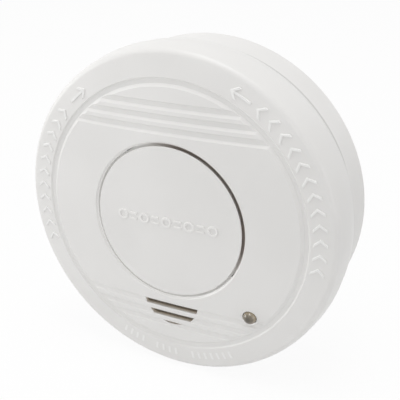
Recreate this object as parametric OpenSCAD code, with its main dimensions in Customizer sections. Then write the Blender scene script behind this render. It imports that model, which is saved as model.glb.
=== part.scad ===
// Smoke detector: a domed alarm that twists off a shallow mounting base.
// It is drawn as it hangs on a wall: the wall is the plane y = 0, the face looks along -Y and +Z is up.
// Inside the modules x runs right, y runs up and the third axis runs from the wall to the face.

/* [Case] */
// Largest diameter of the cover
body_d = 106; // [105:0.5:114]
// Depth from the wall to the middle of the face
body_h = 34.8; // [34:0.2:40]
// Radius of the shallow dome of the face
dome_r = 328; // [260:2:480]
// Distance of the widest ring of the cover from the wall
flank_h = 22.8; // [22:0.2:24]
// Radius of the bulge of the cover's side
flank_r = 23.5; // [22:0.5:28]
// Radius of the rounded edge between the face and the side
edge_r = 2; // [1:0.1:3]
// Wall of the cover
cover_wall = 2.4; // [2:0.1:2.8]
// Distance of the seam between cover and base from the wall
seam_h = 10.3; // [10:0.1:11.5]
// Width of the seam
seam_gap = 0.5; // [0.3:0.05:0.8]

/* [Face] */
// Diameter of the cover that the sizes in this section are given for; they grow with the cover
pattern_d = 106; // [104:0.5:108]
// Diameter of the test button
button_d = 48.3; // [44:0.1:50]
// Open gap round the test button
button_gap = 0.85; // [0.7:0.05:1.2]
// Wall of the test button
button_wall = 2.2; // [1.8:0.1:2.6]
// Stroke of the test button
button_travel = 0.8; // [0.5:0.1:1]
// Mean diameter of the ring groove round the face
ring_d = 86; // [84:0.1:88]
// Width of the ring groove and the straight grooves at the surface
groove_w = 2.5; // [2.3:0.1:2.7]
// Width of the grooves at their floor
groove_floor_w = 1.3; // [1.1:0.1:1.4]
// Depth of the grooves
groove_depth = 0.4; // [0.3:0.05:0.6]
// Distance from the middle of the face to the outermost straight groove
groove_first = 36.2; // [35.8:0.1:36.8]
// Distance from one straight groove to the next
groove_pitch = 3.6; // [3.4:0.1:3.7]
// Straight grooves above and below the button
groove_count = 3; // [1:1:3]
// Width of the sounder slots in the lower grooves
sound_slot_w = 1.7; // [1.5:0.05:1.9]
// Diameter of the round port that the sounder slots open into
port_d = 18.8; // [17:0.2:20]
// Distance of the sounder port below the middle of the face
sounder_drop = 27.5; // [27:0.1:28.5]

/* [Indicator] */
// Diameter of the indicator lamp
led_d = 4.2; // [3.8:0.1:4.8]
// Distance of the indicator lamp from the middle of the face
led_reach = 37.6; // [37:0.1:38.2]
// Direction of the indicator lamp, anticlockwise from the right
led_angle = -45; // [-47:0.5:-43]
// Height of the lamp's tip above the face
led_rise = 1.6; // [1:0.1:2]

/* [Mounting base] */
// Floor of the mounting base
base_floor = 2.4; // [2:0.1:2.8]
// Wall of the mounting base at the seam
skirt_wall = 1.8; // [1.5:0.1:2.2]
// Widening of the mounting base from the seam to the wall
skirt_flare = 1.3; // [0:0.1:1.8]
// Distance between the two screw slots
screw_spacing = 60; // [50:1:66]
// Width of a screw slot
slot_w = 4.5; // [4:0.1:5]
// Length of a screw slot
slot_len = 10; // [7:0.5:13]
// Number of bayonet catches
catch_count = 4; // [3:1:6]
// Angle of a bayonet catch
catch_span = 13; // [11:0.5:14]
// Angle of a bayonet lug
lug_span = 11; // [8:0.5:12]

/* [Rear housing] */
// Wall of the rear housing
case_wall = 1.6; // [1.4:0.1:2]
// Floor of the rear housing
case_floor = 1.8; // [1.5:0.1:2.2]
// Diameter of the cover's screw posts
post_d = 5; // [4.6:0.1:5.6]
// Length of the battery without its terminals
battery_l = 46.5; // [45:0.1:47]
// Width of the battery
battery_w = 26.4; // [25:0.1:27]
// Thickness of the battery
battery_t = 17.4; // [16:0.1:18]

/* [Circuit] */
// Thickness of the circuit board
board_t = 1.6; // [1:0.1:2]
// Height of the board's standoffs
board_lift = 3; // [2.5:0.1:3.5]
// Radius of the smoke chamber as a share of the board's height
chamber_share = 0.29; // [0.27:0.005:0.3]
// Height of the smoke chamber's vanes
vane_h = 9; // [8:0.25:10]
// Number of places for vanes round the smoke chamber
vane_count = 18; // [14:1:20]
// Outer diameter of the sounder horn
horn_d = 26; // [25.4:0.2:26.6]
// Height of the legs under the sounder horn
horn_leg = 7; // [6:0.25:8]

/* [Hidden] */
$fn = 96;
// Segments of a full turn on the dome's large radius
fine = 720;
// Overlap that lets a cut or a joined piece pass its neighbour's face
over = 0.5;
// Room between fixed pieces that are fitted together
fit = 0.3;
// Room between a screw or pin and its hole
pin_fit = 0.05;
// Room between the bayonet's sliding faces
slide_fit = 0.3;

shell_white = [0.93, 0.925, 0.915];
base_white = [0.92, 0.915, 0.905];
black_plastic = [0.09, 0.09, 0.095];
steel = [0.72, 0.72, 0.73];
brass = [0.8, 0.66, 0.36];

body_r = body_d / 2;
dome_c = body_h - dome_r;
flank_x = body_r - flank_r;
cover_h0 = seam_h + seam_gap / 2;
base_h1 = seam_h - seam_gap / 2;

// Sizes of the face's pattern at the cover's own diameter
pattern = body_d / pattern_d;
button_r = pattern * button_d / 2;
ring_r = pattern * ring_d / 2;
port_r = pattern * port_d / 2;
horn_r = pattern * horn_d / 2;
sounder_y = -pattern * sounder_drop;
led_pos = pattern * led_reach * [cos(led_angle), sin(led_angle)];
function groove_y(i) = pattern * (groove_first - i * groove_pitch);

function unit(v) = v / norm(v);
function polar(r, a) = [r * cos(a), r * sin(a)];
// Height of the face, or of a surface below it, at a distance from the middle
function face_h(r, inset = 0) = dome_c + sqrt(pow(dome_r - inset, 2) - r * r);
// Radius of the cover's side, or of a surface inside it, at a height
function flank_at(h, inset = 0) = flank_x + sqrt(pow(flank_r - inset, 2) - pow(h - flank_h, 2));
// Outer crossing of two circles
function crossing(c1, r1, c2, r2) =
    let (d = norm(c2 - c1), u = (c2 - c1) / d, a = (r1 * r1 - r2 * r2 + d * d) / (2 * d))
    c1 + a * u + sqrt(r1 * r1 - a * a) * [u[1], -u[0]];

// Rounded edge between the face and the side
edge_c = crossing([0, dome_c], dome_r - edge_r, [flank_x, flank_h], flank_r - edge_r);
edge_up = unit(edge_c - [0, dome_c]);
edge_out = unit(edge_c - [flank_x, flank_h]);
ring_extra = 0.1;

// Mounting base and bayonet
seam_step = 0.1;
seam_fall = 1.5;
skirt_out = flank_at(seam_h) + seam_step;
skirt_in = skirt_out - skirt_wall;
catch_reach = 1.8;
stop_reach = 1.6;
catch_t = 1.5;
lug_t = 1.6;
lug_room = 0.5;
stop_span = 2;
base_clear = 0.8;
base_soft = 0.6;
head_recess = 0.8;
back_recess = 0.6;
back_rim = 4;
back_pad = 3;
stop_width = 0.8 * stop_span;

// Rear housing
catch_room = 0.4;
case_out_r = skirt_in - catch_reach - catch_room;
case_in_r = case_out_r - case_wall;
case_h0 = base_floor + base_clear;
case_floor_h = case_h0 + case_floor;
flange_t = 1.5;
flange_sink = 0.1;
flange_h0 = cover_h0 + flange_sink;
case_h1 = flange_h0 + flange_t;
flange_r = flank_at(flange_h0, cover_wall) - fit;
lug_lift = 1.8;
lug_h0 = case_h0 + lug_lift;
catch_h0 = lug_h0 + lug_t + slide_fit;

// Battery and its bay
terminal_h = 2.3;
terminal_pitch = 12.7;
contact_room = 2.2;
bay_wall = 1.5;
bay_l = battery_l + terminal_h + contact_room + fit;
bay_w = battery_w + 2 * fit;
bay_x0 = -bay_l / 2;
bay_x1 = bay_l / 2;
bay_room = 0.2;
bay_y1 = sqrt(case_in_r * case_in_r - bay_x1 * bay_x1) - bay_room;
bay_y0 = bay_y1 - bay_w;
battery_sink = 0.7;
battery_h0 = case_h0 + battery_sink;
battery_h1 = battery_h0 + battery_t;
bay_h1 = battery_h1 + fit;
battery_x0 = bay_x0 + fit;
battery_x1 = battery_x0 + battery_l;
battery_y = bay_y0 + bay_w / 2;
battery_mid_h = (battery_h0 + battery_h1) / 2;
terminal_x1 = battery_x1 + terminal_h;
window_w = 5.6;

// Screw posts of the cover
post_pilot_r = 1.25;
boss_wall = 1.5;
post_boss_d = post_d + 2 * boss_wall;
post_room = 1;
post_reach = case_in_r - post_d / 2 - post_room;
post_low = [235, 305];
post_lift = 2;
post_h0 = case_floor_h + post_lift;
post_pilot_l = 12;
screw_head_d = 5.2;
screw_head_t = 1.7;
screw_head_sink = 2;
screw_l = 11;
screw_room = 0.25;

// Circuit board
board_h0 = case_floor_h + board_lift;
board_h1 = board_h0 + board_t;
board_room = 1;
board_r = case_in_r - board_room;
board_y1 = bay_y0 - bay_wall - fit;
post_set = 3.8;
post_rise = asin((board_y1 + post_set) / post_reach);
post_angles = [post_rise, 180 - post_rise, post_low[0], post_low[1]];
board_pilot_r = 0.95;
standoff_d = 5;
board_head_d = 4.4;
board_head_t = 1.5;
board_screw_set = 0.7;
board_screw_drop = 3.5;
board_screw_room = 1.9;
board_screw_reach = post_reach - board_screw_set;
board_screw_rise = asin((board_y1 - board_screw_drop) / board_screw_reach);
// The lowest board screw keeps its room beside the sounder horn
horn_away = horn_r + board_head_d / 2 + board_screw_room;
board_screw_swing = acos((pow(board_screw_reach, 2) + pow(sounder_y, 2) - pow(horn_away, 2))
                         / (2 * board_screw_reach * abs(sounder_y)));
board_screw_angles = [board_screw_rise, 180 - board_screw_rise, 270 + board_screw_swing];
// Place on the board: a share of its radius to the right and of its height down from the upper edge
function on_board(across, down) = [across * board_r, board_y1 - down * (board_y1 + board_r)];
switch_pos = on_board(0, 0.16);
chip_pos = on_board(0.385, 0.205);
reservoir_pos = on_board(0.839, 0.27);
timing_pos = on_board(0.781, 0.467);
resistor_pos = on_board(0.575, 0.46);
coil_pos = on_board(0.361, 0.437);
ceramic_pos = on_board(-0.213, 0.1);

// Smoke chamber
chamber_r = chamber_share * (board_y1 + board_r);
chamber_floor = 1.5;
chamber_lid = 1.5;
chamber_set = 0.8;
chamber_room = 1.3;
chamber_y = board_y1 - chamber_r - chamber_set;
chamber_x = -sqrt(pow(case_in_r - chamber_r - chamber_room, 2) - chamber_y * chamber_y);
chamber_pos = [chamber_x, chamber_y];
screen_t = 0.4;
screen_lip = 0.9;
screen_r = chamber_r - screen_lip;
screen_seat = 1;
vane_l = 3.2;
vane_turn = 38;
vane_t = 0.8;
vane_r = screen_r - screen_t - fit - 0.7 * vane_l;
chamber_h0 = board_h1;
vane_h0 = chamber_h0 + chamber_floor;
vane_h1 = vane_h0 + vane_h;
optic_h = vane_h0 + vane_h / 2;
optic_r = 2.4;
optic_l = 5.4;
optic_tip = 0.3 * chamber_r;
emitter_angle = 200;
receiver_angle = 70;
optic_slack = 27;
optic_foot = 0.4;
optic_foot_t = 0.8;
holder_wall = 1.2;
holder_set = 1;
holder_w = 2 * (optic_r + holder_wall);

// Sounder
rib_t = 1.2;
rib_set = 0.5;
rib_r = port_r + rib_set;
horn_wall = 1.2;
horn_h0 = board_h1 + horn_leg;
horn_rim_h = 2.4;
disc_h0 = horn_h0 + horn_rim_h;
disc_t = 0.3;
disc_r = horn_r - horn_wall - fit;
ledge_w = 1.5;
horn_leg_span = 24;
port_lift = 0.8;
ceramic_t = 0.25;
ceramic_r = 0.68 * disc_r;

// Test button and its switch
hole_r = button_r + button_gap;
hole_soft = 0.65;
collar_t = 1.4;
collar_drop = 3;
collar_h0 = face_h(hole_r, cover_wall) - collar_drop;
skirt_set = 1.2;
skirt_r = button_r - skirt_set;
button_skirt_t = 1.4;
toe_angles = [45, 135, 225, 315];
toe_span = 12;
notch_span = 1.5 * toe_span;
toe_t = 1.5;
toe_reach = 1.5;
toe_h1 = face_h(hole_r + toe_reach, cover_wall) - fit;
button_skirt_h0 = toe_h1 - toe_t - fit;
switch_w = 6;
switch_t = 3.4;
switch_floor = 0.4;
plunger_r = 1.7;
plunger_spare = 0.2;
plunger_top = 9.6;
plunger_h1 = board_h1 + plunger_top;
stem_r = 2.4;
stem_fin = 9;
fin_t = 1.2;
button_soft = 0.15;
button_lip = 0.4;
ledge_t = 0.8;
ledge_sink = 0.2;
// The horn stays below the button at the end of its stroke and below the collar
horn_h1 = min(button_skirt_h0 - button_travel, collar_h0) - fit;
rib_h0 = horn_h1 + fit;

// Indicator lamp
led_r = led_d / 2;
led_room = 0.2;
led_hole_r = led_r + led_room;
led_h1 = face_h(norm(led_pos)) + led_rise;
led_l = 10.2;
led_foot = 0.4;
led_foot_t = 1;
led_h0 = led_h1 - led_l;
led_collar_t = 1.2;
lead_r = 0.3;
lead_pitch = 2.54;

// Main chip
chip_l = 19.3;
chip_w = 6.4;
chip_t = 3.3;
chip_lift = 0.5;
leg_count = 8;
leg_w = 0.6;
leg_t = 0.3;
leg_span = 7.6;
notch_r = 0.9;
notch_depth = 0.5;

// Turns a piece drawn face up so that its back lies on the wall
module hung() {
    rotate([90, 0, 0]) children();
}

module rod(p, r, h0, h1) {
    translate([p[0], p[1], h0]) cylinder(r = r, h = h1 - h0);
}

module ring(r_in, r_out, h0, h1) {
    rotate_extrude() translate([r_in, h0]) square([r_out - r_in, h1 - h0]);
}

module sector(r_in, r_out, h0, h1, mid, span) {
    rotate([0, 0, mid - span / 2])
        rotate_extrude(angle = span) translate([r_in, h0]) square([r_out - r_in, h1 - h0]);
}

module block(low, high) {
    translate(low) cube(high - low);
}

// Straight slot with round ends along x
module slot(p, w, l, h0, h1) {
    for (side = [-1, 1]) rod(p + [side * (l - w) / 2, 0], w / 2, h0, h1);
    block([p[0] - (l - w) / 2, p[1] - w / 2, h0], [p[0] + (l - w) / 2, p[1] + w / 2, h1]);
}

// Half section of the space under the dome and within the bulging side
module cover_section(inset, bottom) {
    intersection() {
        translate([0, dome_c]) circle(r = dome_r - inset, $fn = fine);
        union() {
            square([flank_x, body_h]);
            translate([flank_x, flank_h]) circle(r = flank_r - inset, $fn = fine);
        }
        translate([0, bottom]) square([body_r + over, body_h]);
    }
}

// What the rounded edge takes off the corner of the cover's section
module edge_corner() {
    difference() {
        polygon([edge_c,
                 edge_c + edge_r * edge_up,
                 edge_c + 1.6 * edge_r * unit(edge_up + edge_out),
                 edge_c + edge_r * edge_out]);
        translate(edge_c) circle(r = edge_r);
    }
}

// Straight groove that follows the dome at a distance from the middle
module chord_groove(y_mid) {
    plane_r = sqrt(dome_r * dome_r - y_mid * y_mid);
    half_floor = groove_floor_w / 2;
    half_open = groove_w - half_floor;
    span = 2.4 * asin(ring_r / dome_r);
    intersection() {
        translate([0, 0, dome_c]) rotate([-90, 0, 0]) rotate([0, 0, -90 - span / 2])
            rotate_extrude(angle = span, $fn = fine)
                polygon([[plane_r - groove_depth, y_mid - half_floor],
                         [plane_r - groove_depth, y_mid + half_floor],
                         [plane_r + groove_depth, y_mid + half_open],
                         [plane_r + groove_depth, y_mid - half_open]]);
        cylinder(r = ring_r, h = body_h + 2 * groove_depth);
    }
}

// Section of the ring groove, a little deeper than the straight grooves that end in it
module ring_section() {
    half_floor = groove_floor_w / 2;
    half_open = groove_w - half_floor;
    floor_h = face_h(ring_r) - groove_depth - ring_extra;
    open_h = face_h(ring_r) + groove_depth;
    polygon([[ring_r - half_floor, floor_h],
             [ring_r + half_floor, floor_h],
             [ring_r + half_open, open_h],
             [ring_r - half_open, open_h]]);
}

// What the softened edge of the button's hole takes off the cover's section
module hole_edge() {
    polygon([[hole_r - hole_soft, face_h(hole_r) - 2 * hole_soft],
             [hole_r + 2 * hole_soft, face_h(hole_r) + hole_soft],
             [hole_r - hole_soft, face_h(hole_r) + hole_soft]]);
}

module sounder_slots() {
    intersection() {
        for (i = [0 : groove_count - 1])
            block([-port_r, -groove_y(i) - sound_slot_w / 2, rib_h0],
                  [port_r, -groove_y(i) + sound_slot_w / 2, body_h]);
        rod([0, sounder_y + pattern * port_lift], port_r, rib_h0, body_h);
    }
}

module front_cover() {
    color(shell_white) hung() difference() {
        union() {
            difference() {
                rotate_extrude() difference() {
                    cover_section(0, cover_h0);
                    edge_corner();
                    ring_section();
                    hole_edge();
                }
                rotate_extrude() cover_section(cover_wall, cover_h0 - over);
                rod([0, 0], hole_r, 0, body_h + over);
            }
            intersection() {
                union() {
                    difference() {
                        ring(hole_r, hole_r + collar_t, collar_h0, body_h);
                        for (a = toe_angles)
                            sector(hole_r - over, hole_r + collar_t + over, 0,
                                   face_h(hole_r + collar_t, cover_wall), a, notch_span);
                    }
                    difference() {
                        translate([0, sounder_y]) ring(rib_r, rib_r + rib_t, rib_h0, body_h);
                        rod([0, 0], hole_r + collar_t / 2, 0, body_h + over);
                    }
                    rod(led_pos, led_hole_r + led_collar_t, led_h1 - led_l / 2, body_h);
                    for (a = post_angles) rod(polar(post_reach, a), post_d / 2, post_h0, body_h);
                }
                rotate_extrude() cover_section(cover_wall / 2, 0);
            }
        }
        for (i = [0 : groove_count - 1], side = [0, 1]) mirror([0, side, 0]) chord_groove(groove_y(i));
        sounder_slots();
        rod(led_pos, led_hole_r, led_h0, body_h);
        for (a = post_angles)
            rod(polar(post_reach, a), post_pilot_r + pin_fit, post_h0 - over, post_h0 + post_pilot_l);
    }
}

module mounting_base() {
    color(base_white) hung() difference() {
        union() {
            rotate_extrude() polygon([[0, 0],
                                      [skirt_out + skirt_flare - base_soft, 0],
                                      [skirt_out + skirt_flare, base_soft],
                                      [skirt_out, base_h1],
                                      [skirt_in, base_h1 - seam_fall],
                                      [skirt_in, base_floor],
                                      [0, base_floor]]);
            for (i = [0 : catch_count - 1]) {
                mid = 45 + i * 360 / catch_count;
                sector(skirt_in - catch_reach, skirt_in + over, catch_h0, catch_h0 + catch_t,
                       mid - stop_span / 2, catch_span + stop_span);
                sector(skirt_in - stop_reach, skirt_in + over, base_floor - over, catch_h0 + catch_t / 2,
                       mid - (catch_span + stop_width) / 2, stop_width);
            }
        }
        for (side = [-1, 1]) {
            p = [side * screw_spacing / 2, 0];
            slot(p, slot_w, slot_len, -over, base_floor + over);
            slot(p, 2 * slot_w, slot_len + slot_w, base_floor - head_recess, base_floor + over);
        }
        difference() {
            rod([0, 0], skirt_in - back_rim, -over, back_recess);
            for (side = [-1, 1])
                slot([side * screw_spacing / 2, 0], slot_w + 2 * back_pad, slot_len + 2 * back_pad,
                     -2 * over, back_recess + over);
        }
    }
}

module rear_housing() {
    color(base_white) hung() difference() {
        union() {
            rod([0, 0], case_out_r, case_h0, case_floor_h);
            ring(case_in_r, case_out_r, case_h0, case_h1);
            ring(case_in_r, flange_r, flange_h0, case_h1);
            for (i = [0 : catch_count - 1])
                sector(case_in_r + over, skirt_in - lug_room, lug_h0, lug_h0 + lug_t,
                       45 + i * 360 / catch_count, lug_span);
            intersection() {
                block([bay_x0 - bay_wall, bay_y0 - bay_wall, case_h0],
                      [bay_x1 + bay_wall, bay_y1 + bay_wall, bay_h1 + bay_wall]);
                rod([0, 0], case_out_r, 0, body_h);
            }
            for (a = post_angles) rod(polar(post_reach, a), post_boss_d / 2, case_h0, post_h0);
            for (a = board_screw_angles)
                rod(polar(board_screw_reach, a), standoff_d / 2, case_h0, board_h0);
        }
        block([bay_x0, bay_y0, case_h0 - over], [bay_x1, bay_y1, bay_h1]);
        for (side = [-1, 1])
            block([bay_x1 - over, battery_y + side * terminal_pitch / 2 - window_w / 2,
                   battery_mid_h - window_w / 2],
                  [bay_x1 + bay_wall + over, battery_y + side * terminal_pitch / 2 + window_w / 2,
                   battery_mid_h + window_w / 2]);
        for (a = post_angles) {
            rod(polar(post_reach, a), post_pilot_r + screw_room, case_h0 - over, post_h0 + over);
            rod(polar(post_reach, a), screw_head_d / 2 + fit, case_h0 - over, case_h0 + screw_head_sink);
        }
        for (a = board_screw_angles)
            rod(polar(board_screw_reach, a), board_pilot_r + pin_fit, case_floor_h, board_h0 + over);
    }
}

module test_button() {
    lip_h = face_h(button_r) - button_lip;
    color(shell_white) hung() {
        rotate_extrude() difference() {
            intersection() {
                difference() {
                    translate([0, dome_c]) circle(r = dome_r, $fn = fine);
                    translate([0, dome_c]) circle(r = dome_r - button_wall, $fn = fine);
                }
                square([button_r, body_h + over]);
            }
            polygon([[button_r - button_soft, face_h(button_r) + button_soft],
                     [button_r - button_soft, face_h(button_r - button_soft)],
                     [button_r, face_h(button_r) - button_soft],
                     [button_r + button_soft, face_h(button_r)]]);
            polygon([[button_r + over, lip_h + over],
                     [button_r + over, lip_h - 2 * button_wall],
                     [button_r - 2 * button_wall, lip_h - 2 * button_wall]]);
        }
        ring(skirt_r - button_skirt_t, skirt_r, button_skirt_h0, face_h(skirt_r, button_wall / 2));
        for (a = toe_angles)
            sector(skirt_r - button_skirt_t / 2, hole_r + toe_reach, toe_h1 - toe_t, toe_h1, a, toe_span);
        ring(skirt_r - button_skirt_t / 2, hole_r - fit, toe_h1 - ledge_sink - ledge_t, toe_h1 - ledge_sink);
        rod(switch_pos, stem_r, plunger_h1, face_h(stem_r, button_wall / 2));
        for (turn = [0, 90])
            translate([switch_pos[0], switch_pos[1], 0]) rotate([0, 0, turn])
                block([-stem_fin / 2, -fin_t / 2, button_skirt_h0],
                      [stem_fin / 2, fin_t / 2, face_h(stem_fin, button_wall / 2)]);
    }
}

module circuit_board() {
    color([0.16, 0.36, 0.22]) hung() difference() {
        intersection() {
            rod([0, 0], board_r, board_h0, board_h1);
            block([-board_r, -board_r, 0], [board_r, board_y1, body_h]);
        }
        for (a = board_screw_angles) rod(polar(board_screw_reach, a), board_pilot_r + screw_room, 0, body_h);
        for (a = post_angles) rod(polar(post_reach, a), post_d / 2 + over, 0, body_h);
    }
}

module indicator_led() {
    color([0.62, 0.58, 0.53]) hung() translate([led_pos[0], led_pos[1], led_h0]) {
        cylinder(r = led_r + led_foot, h = led_foot_t);
        cylinder(r = led_r, h = led_l - led_r);
        translate([0, 0, led_l - led_r]) intersection() {
            sphere(r = led_r);
            cylinder(r = led_r + over, h = led_r + over);
        }
    }
}

module led_leads() {
    color(steel) hung() for (side = [-1, 1])
        rod(led_pos + [side * lead_pitch / 2, 0], lead_r, board_h1, led_h0);
}

// Places the smoke chamber's own pieces round its axis
module at_chamber(h) {
    translate([chamber_pos[0], chamber_pos[1], h]) children();
}

function gap_angle(a, b) = abs(((a - b + 540) % 360) - 180);

module optic_holder(a) {
    rotate([0, 0, a]) difference() {
        block([optic_tip + holder_set, -holder_w / 2, vane_h0 - over],
              [optic_tip + optic_l - holder_set, holder_w / 2, optic_h - pin_fit]);
        translate([0, 0, optic_h]) rotate([0, 90, 0]) cylinder(r = optic_r + pin_fit, h = 2 * chamber_r);
    }
}

module chamber_base() {
    color(black_plastic) hung() at_chamber(0) {
        rod([0, 0], chamber_r, chamber_h0, vane_h0);
        ring(screen_r + pin_fit, chamber_r, vane_h0 - over, vane_h0 + screen_seat);
        for (i = [0 : vane_count - 1]) {
            a = i * 360 / vane_count;
            if (gap_angle(a, emitter_angle) > optic_slack && gap_angle(a, receiver_angle) > optic_slack)
                rotate([0, 0, a]) translate([vane_r, 0, vane_h0 - over]) {
                    rotate([0, 0, vane_turn]) translate([-vane_l / 2, -vane_t / 2, 0])
                        cube([vane_l, vane_t, vane_h + over]);
                    rotate([0, 0, vane_turn - 90]) translate([-vane_l / 2, -(vane_l + vane_t) / 2, 0])
                        cube([vane_t, vane_l / 2 + vane_t, vane_h + over]);
                }
        }
        optic_holder(emitter_angle);
        optic_holder(receiver_angle);
    }
}

module chamber_cap() {
    color(black_plastic) hung() at_chamber(0) {
        rod([0, 0], chamber_r, vane_h1, vane_h1 + chamber_lid);
        ring(screen_r + pin_fit, chamber_r, vane_h1 - screen_seat, vane_h1 + chamber_lid / 2);
    }
}

module insect_screen() {
    screen_holes = 30;
    screen_rows = 3;
    hole_w = 1.5;
    hole_bar = 0.4;
    row_h = (vane_h - 2 * screen_seat) / screen_rows;
    first_h = vane_h0 + screen_seat + hole_bar / 2;
    color(steel) hung() at_chamber(0) difference() {
        ring(screen_r - screen_t, screen_r, vane_h0, vane_h1);
        for (i = [0 : screen_holes - 1], row = [0 : screen_rows - 1])
            rotate([0, 0, (i + (row % 2) / 2) * 360 / screen_holes])
                translate([screen_r - 2 * screen_t, -hole_w / 2, first_h + row * row_h])
                    cube([3 * screen_t, hole_w, row_h - hole_bar]);
    }
}

// Lamp or receiver that lies in its holder and looks at the chamber's middle
module optic(a) {
    at_chamber(optic_h) rotate([0, 0, a]) rotate([0, 90, 0]) {
        translate([0, 0, optic_tip]) {
            intersection() {
                sphere(r = optic_r);
                translate([0, 0, -optic_r]) cylinder(r = optic_r, h = optic_r);
            }
            cylinder(r = optic_r, h = optic_l - optic_foot_t);
        }
        translate([0, 0, optic_tip + optic_l - optic_foot_t])
            cylinder(r = optic_r + optic_foot, h = optic_foot_t);
    }
}

module ir_emitter() {
    color([0.55, 0.6, 0.75]) hung() optic(emitter_angle);
}

module photodiode() {
    color([0.12, 0.1, 0.14]) hung() optic(receiver_angle);
}

module at_sounder() {
    translate([0, sounder_y, 0]) children();
}

module sounder_horn() {
    color([0.88, 0.87, 0.84]) hung() at_sounder() {
        rotate_extrude() polygon([[horn_r - horn_wall - ledge_w, horn_h0],
                                  [horn_r, horn_h0],
                                  [horn_r, horn_h1],
                                  [port_r, horn_h1],
                                  [port_r, horn_h1 - horn_wall],
                                  [horn_r - horn_wall, horn_h1 - 2 * horn_wall],
                                  [horn_r - horn_wall, disc_h0],
                                  [horn_r - horn_wall - ledge_w, disc_h0]]);
        for (a = [90, 210, 330])
            sector(horn_r - horn_wall, horn_r, board_h1, horn_h0 + over, a, horn_leg_span);
    }
}

module piezo_disc() {
    color(brass) hung() at_sounder() rod([0, 0], disc_r, disc_h0, disc_h0 + disc_t);
}

module piezo_ceramic() {
    color([0.85, 0.84, 0.8]) hung() at_sounder() rod([0, 0], ceramic_r, disc_h0 - ceramic_t, disc_h0);
}

// Sprung pins that feed the disc, the ceramic's middle and its feedback patch
module sounder_contacts() {
    foot_r = 1;
    foot_h = 2.4;
    tip_r = 0.45;
    brass_x = (ceramic_r + disc_r) / 2;
    color(brass) hung() at_sounder() for (pin = [[-brass_x, disc_h0], [0, disc_h0 - ceramic_t],
                                                 [ceramic_r / 2, disc_h0 - ceramic_t]]) {
        rod([pin[0], 0], foot_r, board_h1, board_h1 + foot_h);
        rod([pin[0], 0], tip_r, board_h1 + foot_h - over, pin[1]);
    }
}

module switch_body() {
    color(black_plastic) hung() difference() {
        translate([switch_pos[0] - switch_w / 2, switch_pos[1] - switch_w / 2, board_h1])
            cube([switch_w, switch_w, switch_t]);
        rod(switch_pos, plunger_r + pin_fit, board_h1 + switch_floor, body_h);
    }
}

module switch_plunger() {
    plunger_h0 = board_h1 + switch_floor + button_travel + plunger_spare;
    color([0.75, 0.2, 0.16]) hung() rod(switch_pos, plunger_r, plunger_h0, plunger_h1 - pin_fit);
}

module main_chip() {
    color(black_plastic) hung() difference() {
        translate([chip_pos[0] - chip_l / 2, chip_pos[1] - chip_w / 2, board_h1 + chip_lift])
            cube([chip_l, chip_w, chip_t]);
        rod(chip_pos - [chip_l / 2, 0], notch_r, board_h1 + chip_lift + chip_t - notch_depth, body_h);
    }
}

module chip_legs() {
    leg_h = board_h1 + chip_lift + chip_t / 2;
    color(steel) hung() for (i = [0 : leg_count - 1], side = [-1, 1])
        translate([chip_pos[0] + (i - (leg_count - 1) / 2) * lead_pitch, chip_pos[1], 0])
            mirror([0, side < 0 ? 1 : 0, 0]) {
                block([-leg_w / 2, chip_w / 2, leg_h - leg_t], [leg_w / 2, leg_span / 2, leg_h]);
                block([-leg_w / 2, leg_span / 2 - leg_t, board_h1], [leg_w / 2, leg_span / 2, leg_h]);
            }
}

// Upright can with a rolled groove above its seal
module can_capacitor(p, r, h) {
    crimp = 0.35;
    seal = 1.2;
    translate([p[0], p[1], board_h1]) rotate_extrude()
        polygon([[0, 0], [r, 0], [r, seal], [r - crimp, seal + crimp], [r - crimp, seal + 2 * crimp],
                 [r, seal + 3 * crimp], [r, h - crimp], [r - crimp, h], [0, h]]);
}

module reservoir_capacitor() {
    can_r = 4;
    can_h = 11.5;
    color([0.16, 0.18, 0.28]) hung() can_capacitor(reservoir_pos, can_r, can_h);
}

module timing_capacitor() {
    can_r = 3.15;
    can_h = 9;
    color([0.2, 0.17, 0.16]) hung() can_capacitor(timing_pos, can_r, can_h);
}

module resistors() {
    resistor_r = 1.15;
    resistor_l = 6.2;
    resistor_pitch = 2.7;
    lead_l = 10;
    lift = 0.2;
    axis_h = board_h1 + resistor_r + lift;
    color([0.72, 0.62, 0.45]) hung() for (i = [-1 : 1])
        translate([resistor_pos[0] + i * resistor_pitch, resistor_pos[1], 0]) {
        translate([0, resistor_l / 2, axis_h]) rotate([90, 0, 0]) cylinder(r = resistor_r, h = resistor_l);
        translate([0, lead_l / 2, axis_h]) rotate([90, 0, 0]) cylinder(r = lead_r, h = lead_l);
        for (side = [-1, 1]) rod([0, side * (lead_l / 2 - lead_r)], lead_r, board_h1, axis_h);
    }
}

module ceramic_capacitors() {
    disc_d = 5.5;
    thick = 2.2;
    lift = 1.5;
    row = 3.6;
    color([0.78, 0.5, 0.2]) hung() for (p = [ceramic_pos, ceramic_pos - [0, row]]) {
        translate([p[0], p[1] + thick / 2, board_h1 + lift + disc_d / 2])
            rotate([90, 0, 0]) cylinder(d = disc_d, h = thick);
        for (side = [-1, 1])
            rod(p + [side * lead_pitch / 2, 0], lead_r, board_h1, board_h1 + lift + disc_d / 2);
    }
}

module step_up_coil() {
    flange = 3.9;
    core = 3.2;
    coil_h = 9.5;
    flange_t = 1.3;
    color([0.3, 0.2, 0.14]) hung() translate([coil_pos[0], coil_pos[1], board_h1]) rotate_extrude()
        polygon([[0, 0], [flange, 0], [flange, flange_t], [core, flange_t], [core, coil_h - flange_t],
                 [flange, coil_h - flange_t], [flange, coil_h], [0, coil_h]]);
}

// Section of the battery across its length
module battery_section(r, inset) {
    w = battery_w - 2 * inset;
    t = battery_t - 2 * inset;
    square([w - 2 * r, t], center = true);
    square([w, t - 2 * r], center = true);
    for (sx = [-1, 1], sy = [-1, 1]) translate([sx * (w / 2 - r), sy * (t / 2 - r)]) circle(r = r);
}

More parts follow.
